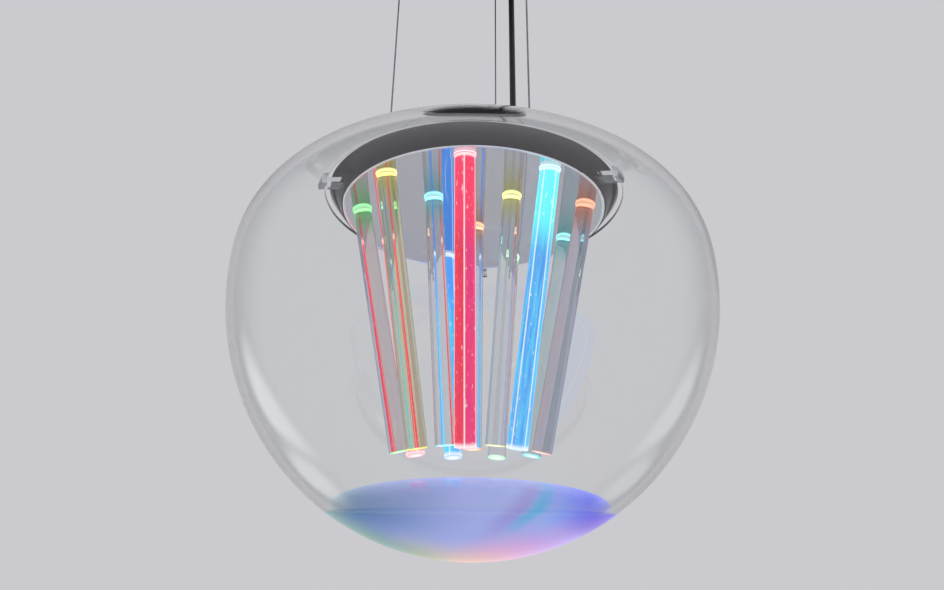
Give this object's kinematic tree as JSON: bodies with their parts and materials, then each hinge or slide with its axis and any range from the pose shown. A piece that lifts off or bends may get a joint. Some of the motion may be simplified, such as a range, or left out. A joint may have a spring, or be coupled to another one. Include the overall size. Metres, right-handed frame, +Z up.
{
  "type": "pendant lamp",
  "caption": "Pendant lamp: clear glass globe with opal bottom, hung on wires from a round canopy, with tilted light rods in a concave mirror above the diffuser.",
  "frame": {"origin": "centre of the ceiling plate, on its top face", "axes": "+Z up along the lamp axis, -Y towards the viewer of the picture, +X to that viewer's right"},
  "size_m": [0.36, 0.3598, 0.642],
  "materials": {
    "zinc_steel": "zinc plated",
    "steel": "plain",
    "satin_nickel": "satin nickel",
    "black_plastic": "matt",
    "white_plastic": "matt",
    "ivory_plastic": "matt",
    "canopy_paint": "satin paint",
    "black_rubber": "matt",
    "wire_rope": "stranded",
    "cord_sheath": "smooth sheath",
    "head_paint": "satin paint",
    "black_steel": "blackened",
    "aluminium": "bare",
    "skirt_gloss": "gloss black",
    "mirror": "polished",
    "board": "solder mask",
    "clear_lens": "clear",
    "clear_bolt": "clear polycarbonate",
    "clear_pad": "clear silicone",
    "collar": "clear, lit",
    "clear_glass": "blown, clear",
    "opal_glass": "opal, satin",
    "rod_acrylic_1": "clear acrylic, lit",
    "rod_acrylic_2": "clear acrylic, lit",
    "rod_acrylic_3": "clear acrylic, lit",
    "rod_acrylic_4": "clear acrylic, lit",
    "rod_acrylic_5": "clear acrylic, lit",
    "rod_acrylic_6": "clear acrylic, lit",
    "rod_acrylic_7": "clear acrylic, lit",
    "rod_acrylic_8": "clear acrylic, lit",
    "rod_acrylic_9": "clear acrylic, lit",
    "rod_acrylic_10": "clear acrylic, lit",
    "rod_acrylic_11": "clear acrylic, lit",
    "rod_acrylic_12": "clear acrylic, lit"
  },
  "bodies": {
    "ceiling": {"ceiling_plate": "zinc_steel", "weld_nuts": "steel", "lock_nuts": "steel", "wire_sockets": "satin_nickel", "cord_socket": "black_plastic", "led_driver": "white_plastic", "driver_screws": "steel", "terminal_block": "ivory_plastic"},
    "canopy": {"canopy_cover": "canopy_paint", "canopy_screws": "satin_nickel"},
    "ball_1": {"wire_ball_1": "steel"},
    "wire_1": {"suspension_wire_1": "wire_rope"},
    "ball_2": {"wire_ball_2": "steel"},
    "wire_2": {"suspension_wire_2": "wire_rope"},
    "ball_3": {"wire_ball_3": "steel"},
    "wire_3": {"suspension_wire_3": "wire_rope"},
    "cord_swivel": {"cord_ball": "black_rubber"},
    "cord": {"power_cord": "cord_sheath"},
    "lower_ball": {"anchor_ball_1": "steel"},
    "latch_1": {"latch_bolt_1": "clear_bolt", "latch_pad_1": "clear_pad"},
    "latch_2": {"latch_bolt_2": "clear_bolt", "latch_pad_2": "clear_pad"},
    "latch_3": {"latch_bolt_3": "clear_bolt", "latch_pad_3": "clear_pad"},
    "lamp": {"anchor_balls": "steel", "cord_grommet": "black_rubber", "wire_anchors": "satin_nickel", "cord_gland": "black_plastic", "head_cover": "head_paint", "cover_screws": "black_steel", "heat_sink": "aluminium", "lead_connector": "ivory_plastic", "heat_spreader": "aluminium", "spreader_screws": "black_steel", "head_skirt": "skirt_gloss", "mirror_dish": "mirror", "mirror_standoffs": "steel", "led_boards": "board", "led_lenses": "clear_lens", "rod_collars": "collar", "light_rod_1": "rod_acrylic_1", "light_rod_2": "rod_acrylic_2", "light_rod_3": "rod_acrylic_3", "light_rod_4": "rod_acrylic_4", "light_rod_5": "rod_acrylic_5", "light_rod_6": "rod_acrylic_6", "light_rod_7": "rod_acrylic_7", "light_rod_8": "rod_acrylic_8", "light_rod_9": "rod_acrylic_9", "light_rod_10": "rod_acrylic_10", "light_rod_11": "rod_acrylic_11", "light_rod_12": "rod_acrylic_12", "latch_guides": "black_plastic", "latch_springs": "steel", "glass_globe": "clear_glass", "opal_bowl": "opal_glass", "opal_dome": "opal_glass"}
  },
  "joints": [
    {"name": "sway_sideways", "type": "hinge", "parent": "ceiling", "child": "ball_1", "pos_m": [-0.075, 0, -0.035], "axis": [0, 1, 0], "range_deg": [-6, 6]},
    {"name": "sway_to_and_fro", "type": "hinge", "parent": "ball_1", "child": "wire_1", "pos_m": [-0.075, 0, -0.035], "axis": [1, 0, 0], "range_deg": [-6, 6]},
    {"name": "wire_2_sideways", "type": "hinge", "parent": "ceiling", "child": "ball_2", "pos_m": [0.04194, -0.06218, -0.035], "axis": [0, 1, 0], "range_deg": [-6, 6]},
    {"name": "wire_2_to_and_fro", "type": "hinge", "parent": "ball_2", "child": "wire_2", "pos_m": [0.04194, -0.06218, -0.035], "axis": [1, 0, 0], "range_deg": [-6, 6]},
    {"name": "wire_3_sideways", "type": "hinge", "parent": "ceiling", "child": "ball_3", "pos_m": [0.02193, 0.07172, -0.035], "axis": [0, 1, 0], "range_deg": [-6, 6]},
    {"name": "wire_3_to_and_fro", "type": "hinge", "parent": "ball_3", "child": "wire_3", "pos_m": [0.02193, 0.07172, -0.035], "axis": [1, 0, 0], "range_deg": [-6, 6]},
    {"name": "cord_sideways", "type": "hinge", "parent": "ceiling", "child": "cord_swivel", "pos_m": [0.03792, 0.0452, -0.035], "axis": [0, 1, 0], "range_deg": [-6, 6]},
    {"name": "cord_to_and_fro", "type": "hinge", "parent": "cord_swivel", "child": "cord", "pos_m": [0.03792, 0.0452, -0.035], "axis": [1, 0, 0], "range_deg": [-6, 6]},
    {"name": "level_to_and_fro", "type": "hinge", "parent": "wire_1", "child": "lower_ball", "pos_m": [-0.075, 0, -0.3491], "axis": [1, 0, 0], "range_deg": [-6, 6]},
    {"name": "level_sideways", "type": "hinge", "parent": "lower_ball", "child": "lamp", "pos_m": [-0.075, 0, -0.3491], "axis": [0, 1, 0], "range_deg": [-6, 6]},
    {"name": "canopy_drop", "type": "slide", "parent": "ceiling", "child": "canopy", "axis": [0, 0, -1], "range_m": [0, 0.04]},
    {"name": "latch_1_slide", "type": "slide", "parent": "lamp", "child": "latch_1", "axis": [-0.8063, 0.5439, 0.2324], "range_m": [0, 0.0075], "stiffness_N_per_m": 600, "springref_m": -0.006, "deforming": ["latch_springs"]},
    {"name": "latch_2_slide", "type": "slide", "parent": "lamp", "child": "latch_2", "axis": [-0.0678, -0.9703, 0.2324], "range_m": [0, 0.0075], "stiffness_N_per_m": 600, "springref_m": -0.006, "deforming": ["latch_springs"]},
    {"name": "latch_3_slide", "type": "slide", "parent": "lamp", "child": "latch_3", "axis": [0.8742, 0.4264, 0.2324], "range_m": [0, 0.0075], "stiffness_N_per_m": 600, "springref_m": -0.006, "deforming": ["latch_springs"]}
  ],
  "couplings": [
    {"joint": "wire_2_sideways", "follows": "sway_sideways", "ratio": 1},
    {"joint": "wire_2_to_and_fro", "follows": "sway_to_and_fro", "ratio": 1},
    {"joint": "wire_3_sideways", "follows": "sway_sideways", "ratio": 1},
    {"joint": "wire_3_to_and_fro", "follows": "sway_to_and_fro", "ratio": 1},
    {"joint": "cord_sideways", "follows": "sway_sideways", "ratio": 1},
    {"joint": "cord_to_and_fro", "follows": "sway_to_and_fro", "ratio": 1},
    {"joint": "level_to_and_fro", "follows": "sway_to_and_fro", "ratio": -1},
    {"joint": "level_sideways", "follows": "sway_sideways", "ratio": -1}
  ]
}
